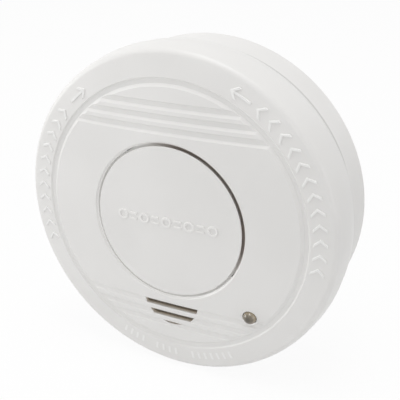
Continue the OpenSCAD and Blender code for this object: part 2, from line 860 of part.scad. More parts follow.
// Places a section drawn upright across the battery's length
module along_battery(x0) {
    translate([x0, battery_y, battery_mid_h]) rotate([90, 0, 90]) children();
}

module battery() {
    rim = 0.3;
    rim_l = 1.2;
    corner = 2.5;
    color([0.2, 0.22, 0.26]) hung() {
        along_battery(battery_x0) linear_extrude(battery_l) battery_section(corner - rim, rim);
        for (x0 = [battery_x0, battery_x1 - rim_l])
            along_battery(x0) linear_extrude(rim_l) battery_section(corner, 0);
    }
}

module battery_terminals() {
    stud_d = 5.2;
    stud_foot_d = 7;
    foot_t = 0.5;
    socket_d = 8;
    socket_hole_d = 5.4;
    color(steel) hung() {
        along_battery(battery_x1) translate([-terminal_pitch / 2, 0, 0]) {
            cylinder(d = stud_d, h = terminal_h);
            cylinder(d = stud_foot_d, h = foot_t);
        }
        along_battery(battery_x1) translate([terminal_pitch / 2, 0, 0]) difference() {
            cylinder(d = socket_d, h = terminal_h, $fn = 6);
            translate([0, 0, foot_t]) cylinder(d = socket_hole_d, h = terminal_h);
        }
    }
}

// Sprung clips that pass through the bay's end wall and run down to the board
module battery_contacts() {
    clip_t = 0.5;
    clip_w = 4.6;
    strip_w = 2.4;
    strip_room = 0.1;
    strip_x = bay_x1 + bay_wall + strip_room;
    rise = 1;
    tail_w = 2;
    tail_pitch = 3.4;
    color(steel) hung() for (i = [0, 1]) {
        y_mid = battery_y + (i == 0 ? -1 : 1) * terminal_pitch / 2;
        y0 = y_mid - tail_w / 2;
        y1 = y_mid + tail_w / 2;
        tail_y = board_y1 - 1.3 * tail_w - i * tail_pitch;
        strip_h0 = battery_mid_h + clip_w / 2 - strip_w + i * (strip_w + rise);
        strip_h1 = strip_h0 + strip_w;
        tongue_h0 = battery_mid_h - tail_w / 2;
        tongue_h1 = battery_mid_h + tail_w / 2;
        block([terminal_x1, y_mid - clip_w / 2, battery_mid_h - clip_w / 2],
              [terminal_x1 + clip_t, y_mid + clip_w / 2, battery_mid_h + clip_w / 2]);
        block([terminal_x1, y0, tongue_h0], [strip_x + clip_t, y1, tongue_h1]);
        block([strip_x, y0, tongue_h0], [strip_x + clip_t, y1, strip_h1]);
        block([strip_x, tail_y, strip_h0], [strip_x + clip_t, y1, strip_h1]);
        block([strip_x, tail_y, board_h1], [strip_x + clip_t, tail_y + tail_w, strip_h1]);
    }
}

// Pan-head screw with a cross recess, head towards the wall
module pan_screw(head_d, head_t, shank_r, shank_l) {
    recess = 0.45 * head_d;
    recess_w = 0.8;
    difference() {
        union() {
            cylinder(d = head_d, h = head_t);
            cylinder(r = shank_r, h = head_t + shank_l);
        }
        for (turn = [0, 90]) rotate([0, 0, turn])
            translate([-recess / 2, -recess_w / 2, -over]) cube([recess, recess_w, over + 0.5 * head_t]);
    }
}

module case_screws() {
    color(steel) hung() for (a = post_angles)
        translate(concat(polar(post_reach, a), case_h0 + screw_head_sink - screw_head_t))
            pan_screw(screw_head_d, screw_head_t, post_pilot_r, screw_l);
}

module board_screws() {
    color(steel) hung() for (a = board_screw_angles)
        translate(concat(polar(board_screw_reach, a), board_h1 + board_head_t)) mirror([0, 0, 1])
            pan_screw(board_head_d, board_head_t, board_pilot_r, board_t + board_lift - fit);
}

mounting_base();
front_cover();
rear_housing();
test_button();
circuit_board();
indicator_led();
led_leads();
chamber_base();
chamber_cap();
insect_screen();
ir_emitter();
photodiode();
sounder_horn();
piezo_disc();
piezo_ceramic();
sounder_contacts();
switch_body();
switch_plunger();
main_chip();
chip_legs();
reservoir_capacitor();
timing_capacitor();
resistors();
ceramic_capacitors();
step_up_coil();
battery();
battery_terminals();
battery_contacts();
case_screws();
board_screws();
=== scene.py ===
"""Looks of a domed smoke detector: finishes, moulded marks, studio stage and camera."""

import math

import bmesh
import bpy
from bpy.props import FloatProperty, FloatVectorProperty, PointerProperty
from mathutils import Matrix, Vector


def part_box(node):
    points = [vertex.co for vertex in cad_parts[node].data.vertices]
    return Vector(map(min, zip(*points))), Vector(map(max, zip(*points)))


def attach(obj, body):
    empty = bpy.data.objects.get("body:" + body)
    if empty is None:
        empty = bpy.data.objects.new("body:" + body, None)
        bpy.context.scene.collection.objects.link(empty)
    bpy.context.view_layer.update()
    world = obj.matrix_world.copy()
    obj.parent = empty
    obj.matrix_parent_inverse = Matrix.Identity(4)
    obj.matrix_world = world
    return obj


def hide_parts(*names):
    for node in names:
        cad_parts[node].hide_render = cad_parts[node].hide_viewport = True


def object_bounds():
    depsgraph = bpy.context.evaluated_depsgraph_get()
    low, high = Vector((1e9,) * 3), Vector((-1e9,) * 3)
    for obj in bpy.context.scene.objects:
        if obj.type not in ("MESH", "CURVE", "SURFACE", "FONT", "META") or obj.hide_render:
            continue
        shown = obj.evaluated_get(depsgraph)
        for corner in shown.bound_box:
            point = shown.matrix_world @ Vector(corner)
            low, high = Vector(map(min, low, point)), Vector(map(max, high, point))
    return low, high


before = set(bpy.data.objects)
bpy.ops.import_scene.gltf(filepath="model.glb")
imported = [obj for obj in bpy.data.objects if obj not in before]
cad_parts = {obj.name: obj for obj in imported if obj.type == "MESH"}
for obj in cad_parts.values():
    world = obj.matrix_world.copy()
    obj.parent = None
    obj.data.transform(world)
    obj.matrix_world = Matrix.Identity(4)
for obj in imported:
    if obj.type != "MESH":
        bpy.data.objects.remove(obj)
CAD_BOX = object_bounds()

bl_info = {
    "name": "Smoke detector finishes",
    "version": (1, 0, 0),
    "blender": (4, 5, 0),
    "location": "View3D > Sidebar > Detector",
    "description": "Finishes, moulded marks, stage and camera for a domed smoke detector",
    "category": "Object",
}

MM = 0.001
FACE_H = -CAD_BOX[0].y  # height of the middle of the face above the wall
PLASTIC_IOR = 1.5
RESIN_IOR = 1.52
TONE_EDGE = (0.35, 0.65)  # levels of the noise over which the plastic's tone changes

# Painted shade and painted glow on the walls of the button's gap and the lamp's hole
GAP_TURN = math.radians(36)  # turn round the face at which the gap's painted shade is darkest
GAP_SIDE = (0.2, 0.75)  # nearness to that turn over which the gap's painted shade darkens
PAINTED_GLOW_DEPTHS = (3.1 * MM, 3.6 * MM)  # depths over which the painted glow grows stronger
PAINTED_GLOW_SHARE = 0.25  # share of that painted glow nearer the face
HOLE_ROOM = 0.6 * MM  # reach beyond the button's hole, for the notches of its collar
HOLE_DEPTH = 0.5 * MM  # depth at which the wall of the button's hole begins
PIT_RADIUS = 2.7 * MM  # reach of the lamp's hole
PIT_DEPTH = 0.1 * MM  # depth at which the wall of the lamp's hole begins

# Painted shade on the walls of the sounder slots, by their depth behind the face
SLOT_SHADES = (0.3 * MM, 1.2 * MM)  # depths over which the walls take on their painted shade
SLOT_DARKENS = (1.1 * MM, 1.8 * MM)  # depths over which that painted shade darkens
SLOT_ENDS = 2.3 * MM  # depth at which the walls end

# Painted shade along the seam between the cover and the base, on the base
SEAM_SHADE_TURN = math.radians(48)  # turn round the face at which the seam's painted shade is darkest
SEAM_SHADE_SIDE = (0.86, 0.91)  # nearness to that turn over which the painted shade darkens
SEAM_SHADE_HEIGHTS = (-1.1 * MM, -0.5 * MM)  # heights against the seam over which its painted shade darkens

# The moulded marks
SUNK = 0.6  # share of its relief by which a mark reaches into the face
SOFT = 0.4  # share of its relief that is rounded off a mark's edge
RIM_TURNS = ((-8, 12, 61.5, 1), (141, 11, 131, -1))  # first chevron, count, arrow, way
RIM_BARS = ((247, 4), (262, 4), (278, 7))  # first bar, count
CHEVRON_LONG = 0.42  # length of a chevron along the band, in mark heights
CHEVRON_WIDE = 1.25  # width of its line along the band, in strokes
ARROW_HALF = 0.85  # half an arrow's length, in mark heights
ARROW_BARB = 0.45  # reach of its barbs, in mark heights
BAR_HALF = 0.32  # half a bar's length across the band, in mark heights
BAR_RELIEF = 0.25  # relief of a bar, as a share of the other marks'

# The button's stand-in and its row of marks
BUTTON_EDGE = 2 * MM  # width of the outer band that holds the button's wall
BUTTON_WALL = 0.25 * MM  # depth below the top at which the wall begins
BUTTON_TOP = 0.5 * MM  # depth within which a corner belongs to the top
WELD = 0.001 * MM  # distance within which loose corners are merged
SHARP = math.radians(30)  # angle past which an edge stays sharp
ROW_SIDE = 4  # marks on each side of the middle one
DASH_HALF = 0.9  # half a dash's length, in ring radii
DASH_RISE = 0.65  # distance of a dash from the row's line, in ring radii
RING_STEPS = 32

# The parts inside
LENS_PAINTED_SHADE = (0.3 * MM, 1.3 * MM)  # distances from the lamp's middle at which its painted shade, the dark inside seen through the resin, ends
LENS_PAINTED_REFLECTION = (1.3 * MM, 2.0 * MM)  # distances at which the painted reflection at its edge begins
SILVER_ENDS = (6.6 * MM, 6.9 * MM)  # distances from the ceramic's middle at which silver ends
CAN_STRIPE = (1.4 * MM, 1.2 * MM)  # half widths at which a capacitor's stripe begins
CAN_EDGE = 0.7 * MM  # width of the sleeve on top of a capacitor
CAN_TOP = 0.2 * MM  # depth of a capacitor's bare top
COAT = (3.15 * MM, 3.05 * MM)  # half lengths at which a resistor's coat begins
BAND = (0.34 * MM, 0.28 * MM)  # half widths at which a resistor's band begins
BANDS = (  # place along a resistor, colour
    (-2.0 * MM, (0.25, 0.08, 0.03)),
    (-1.0 * MM, (0.02, 0.02, 0.02)),
    (0.0, (0.45, 0.06, 0.02)),
    (1.9 * MM, (0.50, 0.36, 0.10)),
)
BARE_LEAD = 1.5 * MM  # length of lead below the coat of the ceramic capacitors
WIRE = 0.32 * MM  # thickness of the coil's wire
FLANGE = (1.3 * MM, 1.4 * MM)  # distances from the coil's ends at which its winding begins
JACKET_BAND = (13.2 * MM, 13.0 * MM)  # distances from the battery's top at which a band begins
JACKET_RIM = (1.3 * MM, 1.2 * MM)  # distances from its ends at which the rims begin

# The stage
SENSOR = 36  # width of the camera's sensor in millimetres
NEAR = 0.01  # nearest distance that the camera shows
FLOOR_HALF = 3  # half the floor's width
LAMPS = {
    "top": (0.0, -0.15, 1.0),
    "front": (0.0, -0.7, 0.8),
    "left": (-1.0, -0.4, 0.15),
    "right": (0.95, -0.2, 0.0),
}


def colour(name, description, default):
    """A colour that a user can change."""
    return FloatVectorProperty(name=name, description=description, default=default,
                               subtype="COLOR", size=3, min=0, max=1)


def length(name, description, default):
    """A length in metres."""
    return FloatProperty(name=name, description=description, default=default,
                         unit="LENGTH", precision=5)


def share(name, description, default):
    """A share between nothing and all."""
    return FloatProperty(name=name, description=description, default=default,
                         subtype="FACTOR", min=0, max=1)


def angle(name, description, degrees):
    """An angle, with its default in degrees."""
    return FloatProperty(name=name, description=description, default=math.radians(degrees),
                         subtype="ANGLE")


def power(name, description, watts):
    """The power of a lamp in watts."""
    return FloatProperty(name=name, description=description, default=watts,
                         unit="POWER", min=0)


class CaseFinish(bpy.types.PropertyGroup):
    """Plastics of the case."""

    dome_radius: length("Dome radius", "Radius of the domed face", 0.328)
    cover: colour("Cover", "Colour of the cover and the button", (0.80, 0.791, 0.776))
    cover_shade: colour("Cover shade", "Second tone of the cover", (0.775, 0.766, 0.751))
    base: colour("Base", "Colour of the mounting base and the rear housing",
                 (0.80, 0.791, 0.778))
    # Painted highlight: the tops of the button's marks are paler, as light catching them
    painted_mark_highlight: colour("Polish", "Colour of the polished tops of the button's marks",
                   (0.83, 0.821, 0.805))
    # Painted shade: a darker colour laid along the seam on the base, where shade falls in the gap
    shade: colour("Shade", "Colour that gathers in the seam", (0.60, 0.595, 0.58))
    # Painted shade in the sounder slots: a warm darker tone near the face, darker still deep
    # inside, where shade falls
    slot_painted_shade: colour("Slot shade", "Colour of the sounder slots near the face",
                       (0.80, 0.725, 0.625))
    slot_deep_painted_shade: colour("Slot deep", "Colour that gathers deep in the sounder slots",
                      (0.48, 0.415, 0.34))
    # Painted light and painted shade on the walls of the button's gap: pale and faintly glowing
    # at the lower left, dark at the upper right
    gap_painted_light: colour("Gap pale", "Colour of the button's gap at its lit side",
                     (0.93, 0.925, 0.91))
    gap_painted_shade: colour("Gap deep", "Colour of the button's gap at its dark side",
                     (0.52, 0.46, 0.42))
    # Painted glow: the gap's pale walls give off a faint light of their own
    gap_painted_glow: share("Gap glow", "Light that seeps deep into the gap through the plastic", 0.28)
    hole_radius: length("Hole radius", "Radius of the button's hole", 0.025)
    seam_height: length("Seam height", "Height of the mounting base at the seam", 0.01005)
    port_drop: length("Port drop", "Distance of the sounder slots below the middle of the face",
                      0.0267)
    port_radius: length("Port radius", "Radius round the sounder slots", 0.0096)
    roughness: share("Roughness", "Roughness of the satin plastic", 0.42)
    grain: length("Grain", "Size of the fine moulded grain", 0.00045)
    grain_height: length("Grain height", "Height of the fine moulded grain", 0.000004)


class MarkSizes(bpy.types.PropertyGroup):
    """Moulded marks on the rim and the button."""

    band_radius: length("Band radius", "Distance of the rim marks from the middle of the face",
                        0.047)
    height: length("Mark height", "Height of a rim mark across the band", 0.0040)
    stroke: length("Stroke", "Width of a mark's line", 0.0007)
    relief: length("Relief", "Height of the marks above the rim", 0.0003)
    pitch: angle("Pitch", "Angle between two rim marks", 5.6)
    row_pitch: length("Row pitch", "Distance between the marks of the button's row", 0.0038)
    row_rise: length("Row rise", "Height of the button's row of marks above its middle", 0.0006)
    ring_radius: length("Ring radius", "Radius of the rings in the button's row", 0.00135)
    row_relief: length("Row relief", "Height of the button's row of marks", 0.00025)


class InsideFinish(bpy.types.PropertyGroup):
    """Finishes of the parts inside the case."""

    steel: colour("Steel", "Plated steel of the screws, leads and clips", (0.56, 0.56, 0.57))
    brass: colour("Brass", "Brass of the sounder's disc", (0.60, 0.43, 0.17))
    copper: colour("Copper", "Lacquered copper wire", (0.45, 0.17, 0.07))
    lens: colour("Lens", "Resin of the indicator lamp", (0.15, 0.125, 0.088))
    chamber: colour("Chamber", "Plastic of the smoke chamber", (0.012, 0.012, 0.013))
    emitter: colour("Emitter", "Resin of the chamber's lamp", (0.20, 0.24, 0.36))
    receiver: colour("Receiver", "Resin of the chamber's receiver", (0.015, 0.012, 0.018))
    horn: colour("Horn", "Plastic of the sounder's horn", (0.70, 0.69, 0.65))
    silver: colour("Silver", "Silvered face of the sounder's ceramic", (0.62, 0.62, 0.60))
    clay: colour("Clay", "Bare ceramic of the sounder", (0.50, 0.47, 0.40))
    board: colour("Board", "Solder mask of the circuit board", (0.035, 0.15, 0.06))
    chip: colour("Chip", "Plastic of the main chip", (0.018, 0.018, 0.019))
    switch: colour("Switch", "Plastic of the switch's body", (0.014, 0.014, 0.015))
    plunger: colour("Plunger", "Plastic of the switch's plunger", (0.45, 0.035, 0.02))
    reservoir: colour("Reservoir", "Sleeve of the reservoir capacitor", (0.025, 0.03, 0.08))
    timing: colour("Timing", "Sleeve of the timing capacitor", (0.035, 0.026, 0.02))
    can_top: colour("Can top", "Bare metal on top of the capacitors", (0.60, 0.60, 0.61))
    resistor: colour("Resistor", "Coat of the resistors", (0.50, 0.38, 0.22))
    resistor_shade: colour("Resistor shade", "Second tone of the resistors", (0.42, 0.31, 0.18))
    bead: colour("Bead", "Coat of the ceramic capacitors", (0.50, 0.21, 0.05))
    bead_shade: colour("Bead shade", "Second tone of the ceramic capacitors",
                       (0.42, 0.16, 0.035))
    core: colour("Core", "Core of the step-up coil", (0.03, 0.028, 0.027))
    core_shade: colour("Core shade", "Second tone of the coil's core", (0.045, 0.042, 0.04))
    jacket: colour("Jacket", "Jacket of the battery", (0.030, 0.034, 0.042))


class StageSetup(bpy.types.PropertyGroup):
    """Camera, floor and studio light."""

    azimuth: angle("Azimuth", "Turn of the camera to the right", 26.8)
    elevation: angle("Elevation", "Height of the camera", 23.52)
    roll: angle("Roll", "Tilt of the camera", -0.684)
    distance: length("Distance", "Distance of the camera from the middle of the face", 0.22659)
    aim_across: length("Aim across", "Shift of the camera to the right", 0.0102)
    aim_up: length("Aim up", "Shift of the camera upwards", 0.0074)
    lens: FloatProperty(name="Lens", description="Focal length in millimetres", default=68.27,
                        unit="CAMERA", min=10)
    floor: colour("Floor", "Colour of the floor", (0.88, 0.88, 0.88))
    glow: share("Glow", "Share of plain white in the floor as it is seen", 0.93)
    sky: share("Sky", "Strength of the even studio light", 0.533)
    top: power("Top", "Power of the lamp above", 4.44)
    front: power("Front", "Power of the lamp above and in front", 0.6)
    left: power("Left", "Power of the lamp at the left", 3.4)
    right: power("Right", "Power of the low lamp at the right", 1.17)
    lamp_size: length("Lamp size", "Diameter of the lamps", 0.6)


class Signal:
    """A node's output, with arithmetic that adds Math nodes."""

    def __init__(self, nodes, socket):
        self.nodes = nodes
        self.socket = socket

    def math(self, operation, *values):
        return self.nodes.node("ShaderNodeMath", {"operation": operation},
                               dict(enumerate(values)))

    def __add__(self, other):
        return self.math("ADD", self, other)

    def __radd__(self, other):
        return self.math("ADD", other, self)

    def __sub__(self, other):
        return self.math("SUBTRACT", self, other)

    def __rsub__(self, other):
        return self.math("SUBTRACT", other, self)

    def __mul__(self, other):
        return self.math("MULTIPLY", self, other)

    def __rmul__(self, other):
        return self.math("MULTIPLY", other, self)

    def __truediv__(self, other):
        return self.math("DIVIDE", self, other)

    def __mod__(self, other):
        return self.math("FLOORED_MODULO", self, other)

    def __pow__(self, other):
        return self.math("POWER", self, other)

    def __abs__(self):
        return self.math("ABSOLUTE", self)

    def __lt__(self, other):
        return self.math("LESS_THAN", self, other)

    def __gt__(self, other):
        return self.math("GREATER_THAN", self, other)


class Nodes:
    """A node tree and what adds nodes to it."""

    def __init__(self, tree):
        self.tree = tree

    def node(self, kind, settings=None, inputs=None, output=0):
        """Adds a node, with its settings first, and gives one of its outputs."""
        node = self.tree.nodes.new(kind)
        for key, value in (settings or {}).items():
            setattr(node, key, value)
        for key, value in (inputs or {}).items():
            self.feed(node.inputs[key], value)
        return Signal(self, node.outputs[output])

    def feed(self, socket, value):
        """Links a signal to a socket, or sets the socket to a value."""
        if isinstance(value, Signal):
            self.tree.links.new(value.socket, socket)
        elif socket.type == "RGBA" and len(value) == 3:
            socket.default_value = (*value, 1)
        else:
            socket.default_value = value


class Finish(Nodes):
    """One material and its nodes."""

    def __init__(self, name, **constants):
        self.material = bpy.data.materials.new(name)
        self.material.use_nodes = True
        super().__init__(self.material.node_tree)
        self.shader = self.tree.nodes["Principled BSDF"]
        self.place = self.node("ShaderNodeTexCoord", output="Object")
        self.set(**constants)

    def set(self, **sockets):
        """Feeds sockets of the shader, by their names in lower case."""
        for key, value in sockets.items():
            name = "IOR" if key == "ior" else key.replace("_", " ").title()
            self.feed(self.shader.inputs[name], value)

    def source(self, name):
        """What feeds a socket of the shader now."""
        return Signal(self, self.shader.inputs[name].links[0].from_socket)

    def axes(self):
        """A point's three coordinates."""
        split = self.node("ShaderNodeSeparateXYZ", inputs={0: self.place}).socket.node
        return [Signal(self, output) for output in split.outputs]

    def around(self, across=0.0, up=0.0):
        """A point's distance from a line that runs straight out of the face."""
        x, _, z = self.axes()
        return ((x - across) ** 2 + (z - up) ** 2) ** 0.5

    def noise(self, size, detail=2.0):
        """Soft random patches of a size."""
        return self.node("ShaderNodeTexNoise", {"noise_dimensions": "3D"},
                         {"Vector": self.place, "Scale": 1 / size, "Detail": detail})

    def smooth(self, value, low, high):
        """Nought at low and one at high, with a soft change between them."""
        return self.node("ShaderNodeMapRange", {"interpolation_type": "SMOOTHSTEP"},
                         {"Value": value, "From Min": low, "From Max": high})

    def mix(self, factor, first, second):
        """A colour between two."""
        return self.node("ShaderNodeMix", {"data_type": "RGBA"},
                         {0: factor, 6: first, 7: second}, output=2)

    def bump(self, pattern, height):
        """The normal of a surface that a pattern raises."""
        return self.node("ShaderNodeBump", inputs={"Height": pattern, "Distance": height})

    def grain(self, size, height):
        """The normal of a surface with a random grain."""
        return self.bump(self.noise(size), height)

    def paint(self, *names):
        """Gives the material to CAD nodes."""
        for name in names:
            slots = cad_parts[name].data.materials
            slots.clear()
            slots.append(self.material)


def scaled(tone, factor):
    """A colour times a factor."""
    return [factor * part for part in tone]


def paler(tone, step):
    """A colour with some white added."""
    return [part + step for part in tone]


def satin_plastic(name, first, second, case):
    """White moulded plastic with a fine grain and a slow change of tone."""
    finish = Finish(name, ior=PLASTIC_IOR)
    patches = finish.smooth(finish.noise(30 * MM, detail=1.5), *TONE_EDGE)
    finish.set(base_color=finish.mix(patches, first, second),
               roughness=case.roughness + 0.08 * (finish.noise(12 * MM) - 0.5),
               normal=finish.grain(case.grain, case.grain_height))
    return finish


def brushed_metal(name, tone, roughness=0.3, size=0.6 * MM):
    """Plated or rolled metal with fine wear."""
    finish = Finish(name, metallic=1.0)
    wear = finish.noise(size, detail=3.0)
    finish.set(base_color=finish.mix(wear, tone, scaled(tone, 0.8)),
               roughness=roughness + 0.2 * (finish.noise(2 * MM) - 0.5),
               normal=finish.bump(wear, 0.003 * MM))
    return finish


def dull_plastic(name, tone, roughness=0.5):
    """Plain moulded plastic with grain."""
    finish = Finish(name, ior=PLASTIC_IOR)
    grain = finish.noise(0.4 * MM)
    pale = [part + 0.03 * (1 - part) for part in tone]
    finish.set(base_color=finish.mix(finish.noise(4 * MM), tone, pale),
               roughness=roughness + 0.1 * (grain - 0.5),
               normal=finish.bump(grain, 0.006 * MM))
    return finish


def below_face(finish, case):
    """Distance of a point behind the domed face."""
    x, y, z = finish.axes()
    dome = case.dome_radius
    return FACE_H - dome + (dome ** 2 - (x * x + z * z)) ** 0.5 + y


def towards(finish, turn):
    """One where a point lies at this turn round the face, falling to minus one opposite."""
    x, _, z = finish.axes()
    return (x * math.cos(turn) + z * math.sin(turn)) / finish.around()


def paint_gap_shade_and_glow(finish, wall, depth, case):
    """Paints shade on a gap's wall at the upper right, and paints it pale with a faint glow
    elsewhere, as light.
    """
    deep = finish.smooth(towards(finish, GAP_TURN), *GAP_SIDE)
    tone = finish.mix(deep, case.gap_painted_light, case.gap_painted_shade)
    more = finish.smooth(depth, *PAINTED_GLOW_DEPTHS)
    painted_glow = wall * (1 - deep) * (PAINTED_GLOW_SHARE + (1 - PAINTED_GLOW_SHARE) * more)
    finish.set(base_color=finish.mix(wall, finish.source("Base Color"), tone),
               emission_color=finish.mix(painted_glow, (0, 0, 0), case.gap_painted_light),
               emission_strength=case.gap_painted_glow)


def dome_height(reach, dome):
    """Height of the domed face at a distance from its middle."""
    return FACE_H - dome + math.sqrt(dome ** 2 - reach ** 2)


def raise_outline(shape, points, relief):
    """Raises a flat anticlockwise outline out of a sheet, with softened upper edges."""
    sunk = -SUNK * relief
    floor = shape.faces.new([shape.verts.new((*point, sunk)) for point in points])
    raised = bmesh.ops.extrude_face_region(shape, geom=[floor])["geom"]
    lid = next(part for part in raised if isinstance(part, bmesh.types.BMFace))
    bmesh.ops.translate(shape, vec=(0, 0, relief - sunk), verts=lid.verts[:])
    bmesh.ops.bevel(shape, geom=lid.edges[:], offset=SOFT * relief, offset_type="OFFSET",
                    segments=2, profile=0.5, affect="EDGES", material=-1)


def new_piece(scene, name, shape, body, material):
    """Makes a shape a piece that moves with a body."""
    mesh = bpy.data.meshes.new(name)
    shape.to_mesh(mesh)
    shape.free()
    mesh.materials.append(material)
    piece = bpy.data.objects.new(name, mesh)
    scene.collection.objects.link(piece)
    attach(piece, body)
    return piece


def centre(node):
    """Middle of a CAD node's box."""
    low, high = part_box(node)
    return (Vector(low) + Vector(high)) / 2


class DETECTOR_OT_stage(bpy.types.Operator):
    """Puts up the camera, the floor and the studio light"""

    bl_idname = "detector.stage"
    bl_label = "Stage"
    bl_options = {"REGISTER", "UNDO"}

    def execute(self, context):
        scene, setup = context.scene, context.scene.detector_stage
        self.camera(scene, setup)
        self.floor(scene, setup)
        self.sky(scene, setup)
        for name, spot in LAMPS.items():
            self.lamp(scene, f"{name}_lamp", getattr(setup, name), setup.lamp_size, spot)
        scene.view_settings.view_transform = "Standard"
        return {"FINISHED"}

    def camera(self, scene, setup):
        turn, rise, roll = setup.azimuth, setup.elevation, setup.roll
        back = Vector((math.sin(turn) * math.cos(rise), -math.cos(turn) * math.cos(rise),
                       math.sin(rise)))
        level = Vector((math.cos(turn), math.sin(turn), 0))
        upright = back.cross(level)
        right = math.cos(roll) * level + math.sin(roll) * upright
        up = math.cos(roll) * upright - math.sin(roll) * level
        data = bpy.data.cameras.new("photo_camera")
        data.sensor_width = SENSOR
        data.lens = setup.lens
        data.clip_start = NEAR
        camera = bpy.data.objects.new("photo_camera", data)
        middle = Vector((0, -FACE_H, 0))
        eye = middle + setup.distance * back + setup.aim_across * right + setup.aim_up * up
        axes = Matrix((right, up, back)).transposed().to_4x4()
        camera.matrix_world = Matrix.Translation(eye) @ axes
        scene.collection.objects.link(camera)
        scene.camera = camera

    def floor(self, scene, setup):
        mesh = bpy.data.meshes.new("floor")
        shape = bmesh.new()
        bmesh.ops.create_grid(shape, x_segments=1, y_segments=1, size=FLOOR_HALF)
        bmesh.ops.translate(shape, vec=(0, 0, CAD_BOX[0].z), verts=shape.verts)
        shape.to_mesh(mesh)
        shape.free()
        floor = bpy.data.objects.new("floor", mesh)
        scene.collection.objects.link(floor)
        finish = Finish("pale_floor", roughness=0.9)
        finish.set(base_color=finish.mix(finish.noise(0.2), setup.floor,
                                         scaled(setup.floor, 0.98)))
        lit = Signal(finish, finish.shader.outputs[0])
        white = finish.node("ShaderNodeEmission", inputs={"Color": (1, 1, 1), "Strength": 1.0})
        surface = finish.node("ShaderNodeMixShader",
                              inputs={0: setup.glow * self.seen(finish), 1: lit, 2: white})
        finish.feed(finish.tree.nodes["Material Output"].inputs["Surface"], surface)
        mesh.materials.append(finish.material)

    def sky(self, scene, setup):
        world = bpy.data.worlds.new("studio")
        world.use_nodes = True
        scene.world = world
        nodes = Nodes(world.node_tree)
        back = world.node_tree.nodes["Background"]
        nodes.feed(back.inputs["Color"], (1, 1, 1))
        nodes.feed(back.inputs["Strength"], setup.sky + (1 - setup.sky) * self.seen(nodes))

    def seen(self, nodes):
        """One for rays that show the background: from the camera, off gloss or through glass."""
        seen, *others = (nodes.node("ShaderNodeLightPath", output=f"Is {kind} Ray")
                         for kind in ("Camera", "Glossy", "Transmission"))
        for other in others:
            seen = seen.math("MAXIMUM", seen, other)
        return seen

    def lamp(self, scene, name, watts, size, spot):
        data = bpy.data.lights.new(name, "AREA")
        data.shape = "DISK"
        data.size = size
        data.energy = watts
        lamp = bpy.data.objects.new(name, data)
        lamp.location = spot
        lamp.rotation_euler = Vector(spot).to_track_quat("Z", "Y").to_euler()
        scene.collection.objects.link(lamp)


class DETECTOR_OT_case(bpy.types.Operator):
    """Finishes the cover, the mounting base and the rear housing"""

    bl_idname = "detector.case"
    bl_label = "Case"
    bl_options = {"REGISTER", "UNDO"}

    def execute(self, context):
        case = context.scene.detector_case
        self.cover(case)
        self.base(case)
        housing = satin_plastic("housing_plastic", case.base, case.cover_shade, case)
        housing.paint("rear_housing")
        return {"FINISHED"}

    def cover(self, case):
        finish = satin_plastic("cover_plastic", case.cover, case.cover_shade, case)
        depth = below_face(finish, case)
        port = finish.around(up=-case.port_drop) < case.port_radius
        # Painted shade on the walls of the sounder slots, darker with depth
        walls = finish.smooth(depth, *SLOT_SHADES) * (depth < SLOT_ENDS) * port
        tone = finish.mix(finish.smooth(depth, *SLOT_DARKENS), case.slot_painted_shade, case.slot_deep_painted_shade)
        finish.set(base_color=finish.mix(walls, finish.source("Base Color"), tone))
        spot = centre("indicator_led")
        # Painted shade and painted glow on the walls of the button's hole and the lamp's hole
        hole = (finish.around() < case.hole_radius + HOLE_ROOM) * (depth > HOLE_DEPTH)
        pit = (finish.around(spot.x, spot.z) < PIT_RADIUS) * (depth > PIT_DEPTH)
        paint_gap_shade_and_glow(finish, hole + pit, depth, case)
        finish.paint("front_cover")

    def base(self, case):
        finish = satin_plastic("base_plastic", case.base, case.cover_shade, case)
        height = 0 - finish.axes()[1]
        # Painted shade: the top of the base is darker along the seam, most at the upper right,
        # where shade falls in the gap
        line = finish.smooth(height - case.seam_height, *SEAM_SHADE_HEIGHTS)
        seam = line * finish.smooth(towards(finish, SEAM_SHADE_TURN), *SEAM_SHADE_SIDE)
        finish.set(base_color=finish.mix(seam, finish.source("Base Color"), case.shade))
        finish.paint("mounting_base")


